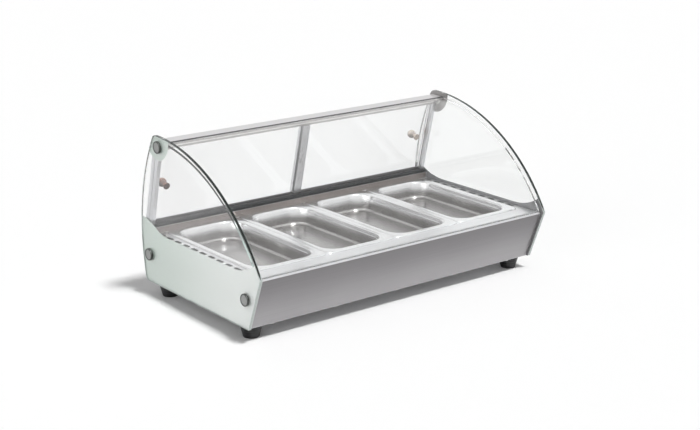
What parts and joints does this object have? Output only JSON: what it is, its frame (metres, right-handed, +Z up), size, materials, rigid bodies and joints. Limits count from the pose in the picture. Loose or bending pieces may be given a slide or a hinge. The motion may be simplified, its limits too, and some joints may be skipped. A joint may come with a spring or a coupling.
{
  "type": "heated display case",
  "caption": "Countertop heated display case with a bent front glass, sliding rear doors and lift-out food pans over a heated well.",
  "frame": {"origin": "on the counter, under the middle of the case's outer box", "axes": "+X along the width, +Y towards the serving side with the sliding doors, +Z up"},
  "size_m": [0.778, 0.436, 0.355],
  "materials": {
    "deck_steel": "brushed along the width",
    "fascia_steel": "brushed along the width, darker",
    "skin_steel": "brushed",
    "pan_steel": "satin pressed steel",
    "liner_steel": "mill finish",
    "element_steel": "heat-tinted tube",
    "fastener_steel": "bright zinc",
    "button_steel": "satin stainless",
    "rail_aluminium": "satin anodised",
    "stile_aluminium": "satin anodised",
    "side_glass": "clear, green at the edges",
    "front_glass": "clear, bent",
    "door_glass": "clear",
    "enamel": "pale mint enamel on the glass, grey inside",
    "black_rubber": "matte",
    "black_plastic": "fine-grained",
    "nylon": "natural nylon",
    "knob_brass": "polished copper-toned brass",
    "knob_plated": "polished pale brass",
    "wool": "mineral wool",
    "board": "white lamp board",
    "lamp_cover": "milky",
    "amber_lens": "clear amber",
    "display": "dark window",
    "switch_red": "gloss red"
  },
  "bodies": {
    "case": {"base_plate": "skin_steel", "front_fascia": "fascia_steel", "side_skin_left": "skin_steel", "side_skin_right": "skin_steel", "rear_panel": "skin_steel", "top_deck": "deck_steel", "well_liner": "liner_steel", "insulation": "wool", "heating_element_left": "element_steel", "heating_element_right": "element_steel", "element_clamps": "liner_steel", "element_glands": "fastener_steel", "feet": "black_rubber", "foot_bolts": "fastener_steel", "case_screws": "fastener_steel", "side_glass_left": "side_glass", "side_glass_right": "side_glass", "side_enamel": "enamel", "glass_buttons": "button_steel", "button_bushes": "nylon", "glass_nuts": "fastener_steel", "front_glass": "front_glass", "rail_gasket": "black_rubber", "sill_channel": "deck_steel", "top_rail": "rail_aluminium", "lamp_board": "board", "lamp_cover": "lamp_cover", "upper_track": "black_plastic", "track_strip": "black_plastic", "lower_track": "rail_aluminium", "posts": "stile_aluminium", "power_switch_housing": "black_plastic", "light_switch_housing": "black_plastic", "thermostat_body": "black_plastic", "thermostat_nut": "fastener_steel", "sensor_bulb": "fastener_steel", "pilot_lamp": "amber_lens", "thermometer_body": "black_plastic", "thermometer_window": "display", "inlet_housing": "black_plastic", "inlet_pins": "fastener_steel", "terminal_block": "nylon", "earth_stud": "fastener_steel"},
    "pan_1_body": {"pan_1": "pan_steel"},
    "pan_2_body": {"pan_2": "pan_steel"},
    "pan_3_body": {"pan_3": "pan_steel"},
    "pan_4_body": {"pan_4": "pan_steel"},
    "left_door": {"door_left_glass": "door_glass", "door_left_stile": "stile_aluminium", "door_left_knob": "knob_brass", "door_left_glides": "nylon"},
    "right_door": {"door_right_glass": "door_glass", "door_right_stile": "stile_aluminium", "door_right_knob": "knob_plated", "door_right_glides": "nylon"},
    "temperature_knob": {"thermostat_knob": "black_plastic", "thermostat_shaft": "fastener_steel"},
    "power_switch": {"power_rocker": "switch_red"},
    "light_switch": {"light_rocker": "black_plastic"}
  },
  "joints": [
    {"name": "pan_1_lift", "type": "slide", "parent": "case", "child": "pan_1_body", "axis": [0, 0, 1], "range_m": [0, 0.045]},
    {"name": "pan_2_lift", "type": "slide", "parent": "case", "child": "pan_2_body", "axis": [0, 0, 1], "range_m": [0, 0.045]},
    {"name": "pan_3_lift", "type": "slide", "parent": "case", "child": "pan_3_body", "axis": [0, 0, 1], "range_m": [0, 0.045]},
    {"name": "pan_4_lift", "type": "slide", "parent": "case", "child": "pan_4_body", "axis": [0, 0, 1], "range_m": [0, 0.045]},
    {"name": "left_door_slide", "type": "slide", "parent": "case", "child": "left_door", "axis": [1, 0, 0], "range_m": [0, 0.3233]},
    {"name": "right_door_slide", "type": "slide", "parent": "case", "child": "right_door", "axis": [1, 0, 0], "range_m": [-0.3233, 0]},
    {"name": "temperature_turn", "type": "hinge", "parent": "case", "child": "temperature_knob", "pos_m": [-0.282, 0.2053, 0.096], "axis": [0, 1, 0], "range_deg": [0, 270]},
    {"name": "power_switch_rock", "type": "hinge", "parent": "case", "child": "power_switch", "pos_m": [0.236, 0.1958, 0.096], "axis": [1, 0, 0], "range_deg": [0, 20]},
    {"name": "light_switch_rock", "type": "hinge", "parent": "case", "child": "light_switch", "pos_m": [0.262, 0.1958, 0.096], "axis": [1, 0, 0], "range_deg": [0, 20]}
  ]
}
